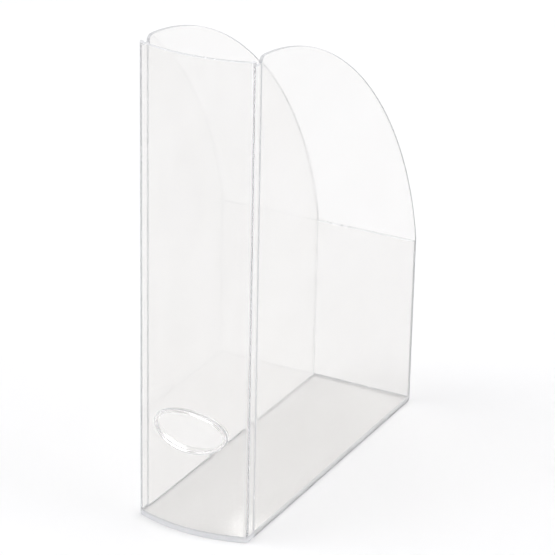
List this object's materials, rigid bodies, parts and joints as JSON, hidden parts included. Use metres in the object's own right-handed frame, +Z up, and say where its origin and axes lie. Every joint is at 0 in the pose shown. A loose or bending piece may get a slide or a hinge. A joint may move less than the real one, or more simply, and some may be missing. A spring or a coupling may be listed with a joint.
{
  "type": "magazine rack",
  "caption": "Upright desktop magazine rack in clear plastic: bowed spine with an oval finger hole, swept side walls, floor and a low rear wall, open at the top and back.",
  "frame": {"origin": "on the surface that the rack stands on, under the middle of its overall box", "axes": "+X across the rack, to the right when facing the spine; +Y from the spine to the open back; +Z up"},
  "size_m": [0.0826, 0.2582, 0.3362],
  "materials": {
    "clear_base": "clear, polished",
    "clear_spine": "clear, polished",
    "clear_rim": "clear, polished",
    "clear_sides": "clear, polished",
    "clear_rear": "clear, polished"
  },
  "bodies": {
    "root": {"base_plate": "clear_base", "spine_panel": "clear_spine", "finger_hole_rim": "clear_rim", "left_side_wall": "clear_sides", "right_side_wall": "clear_sides", "rear_wall": "clear_rear"}
  },
  "joints": []
}
